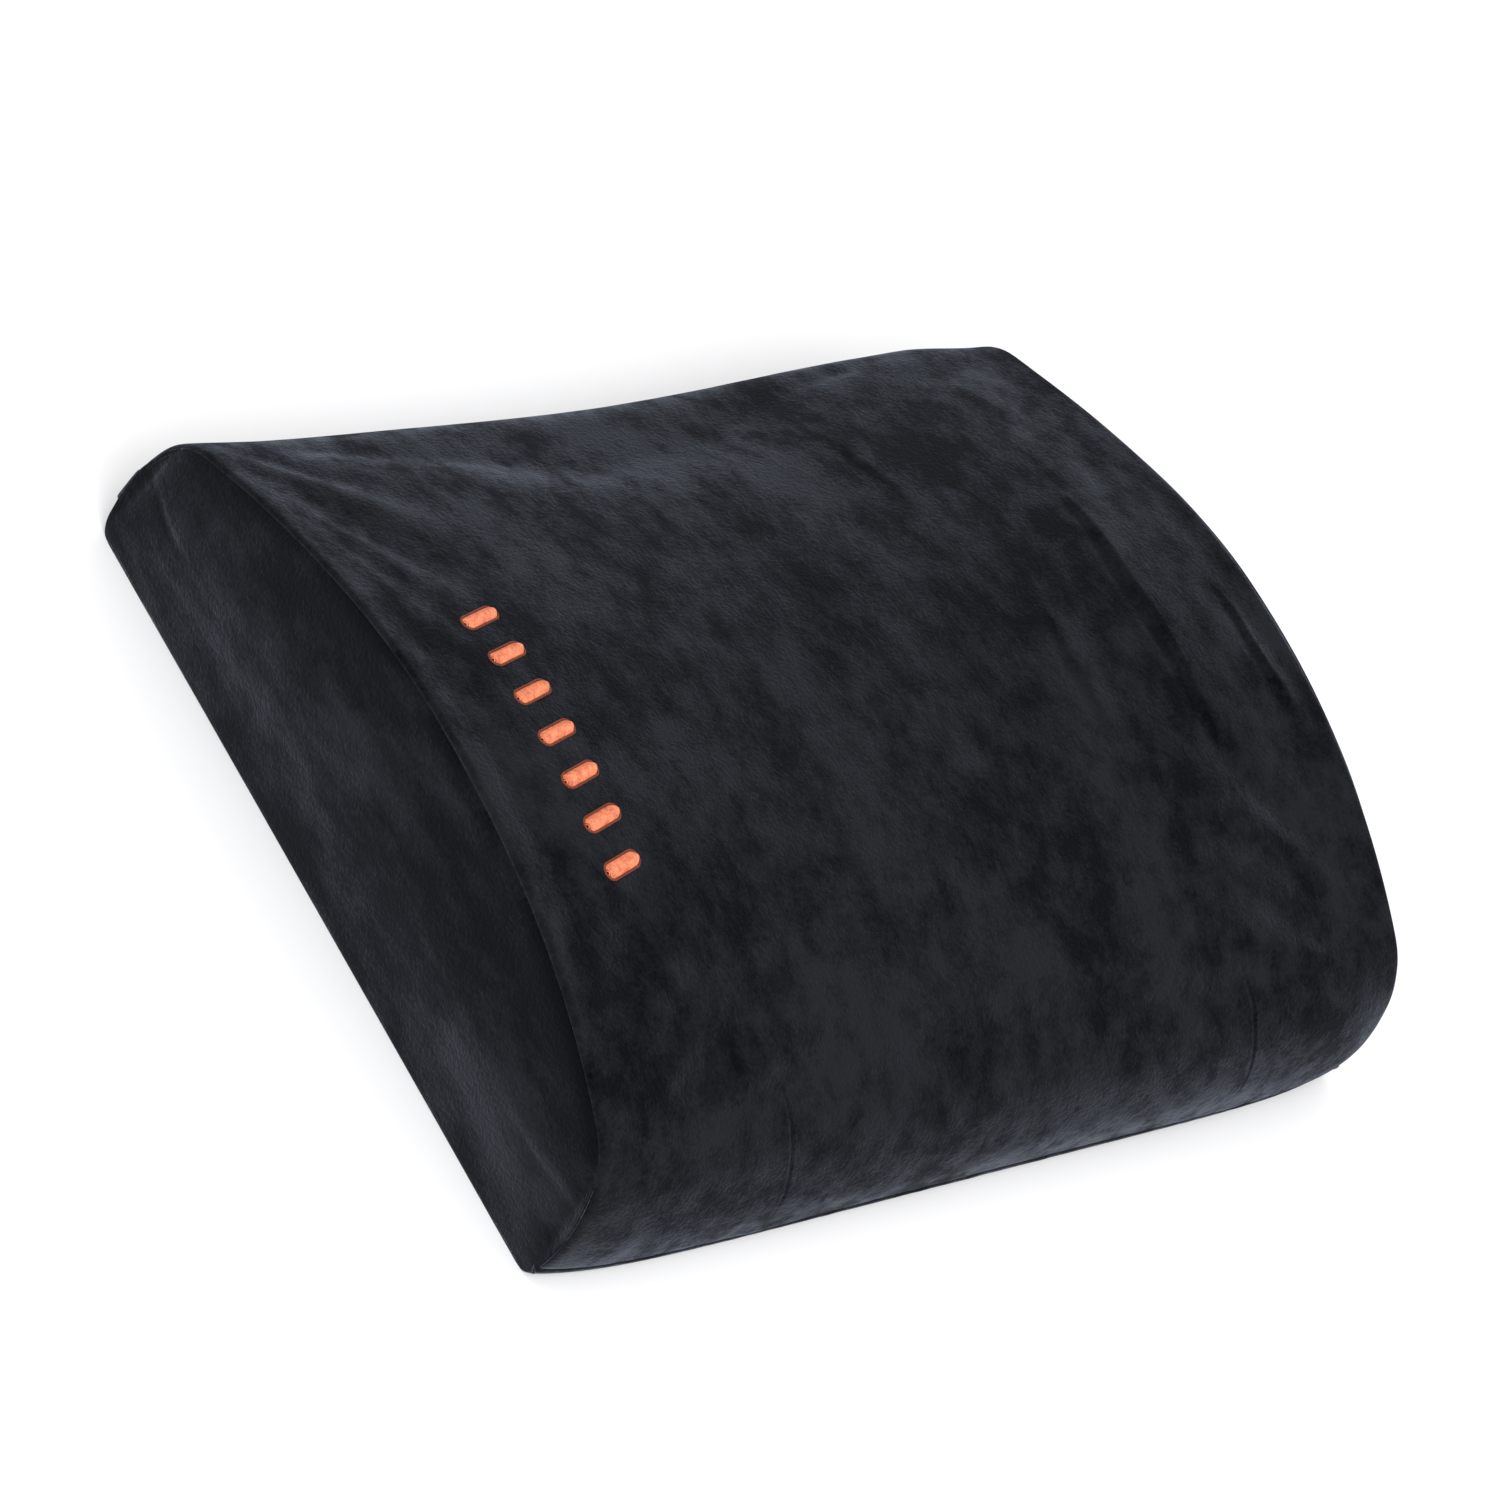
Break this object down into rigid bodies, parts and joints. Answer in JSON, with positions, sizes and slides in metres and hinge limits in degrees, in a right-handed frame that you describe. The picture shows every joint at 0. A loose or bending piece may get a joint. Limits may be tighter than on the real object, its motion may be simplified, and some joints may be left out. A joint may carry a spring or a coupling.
{
  "type": "lumbar support cushion",
  "caption": "Flat-backed, crowned foam cushion in a zipped velour cover with D-shaped end gussets, for lower-back support on a seat.",
  "frame": {"origin": "middle of the flat back face, which the cushion lies on", "axes": "+X across the cushion from the gusset beside the embroidery to the other gusset, +Y from the bottom end to the top end, where the zip is, +Z from the flat back to the crowned front"},
  "size_m": [0.38, 0.2955, 0.09],
  "materials": {
    "velour": "matte",
    "gusset_velour": "matte",
    "memory_foam": "matte",
    "liner_knit": "matte",
    "zip_tape": "matte",
    "zip_nylon": "satin",
    "zip_metal": "satin",
    "orange_thread": "satin"
  },
  "bodies": {
    "cushion": {"foam_core": "memory_foam", "liner_front": "liner_knit", "liner_back": "liner_knit", "cover_front_panel": "velour", "cover_back_panel": "velour", "gusset_left": "gusset_velour", "gusset_right": "gusset_velour", "embroidered_bar_1": "orange_thread", "embroidered_bar_2": "orange_thread", "embroidered_bar_3": "orange_thread", "embroidered_bar_4": "orange_thread", "embroidered_bar_5": "orange_thread", "embroidered_bar_6": "orange_thread", "embroidered_bar_7": "orange_thread", "zip_tape_upper": "zip_tape", "zip_tape_lower": "zip_tape", "zip_coil_upper": "zip_nylon", "zip_coil_lower": "zip_nylon", "zip_stop_top_upper": "zip_metal", "zip_stop_top_lower": "zip_metal", "zip_stop_bottom": "zip_metal"},
    "zip_slider": {"zip_slider_body": "zip_metal"},
    "zip_pull": {"zip_pull_tab": "zip_metal"}
  },
  "joints": [
    {"name": "zip_slide", "type": "slide", "parent": "cushion", "child": "zip_slider", "axis": [-1, 0, 0], "range_m": [0, 0.3254], "deforming": ["zip_coil_upper", "zip_coil_lower"]},
    {"name": "pull_hinge", "type": "hinge", "parent": "zip_slider", "child": "zip_pull", "pos_m": [0.1627, 0.14669, 0.02121], "axis": [0, 0.0922, -0.9957], "range_deg": [0, 175]}
  ]
}
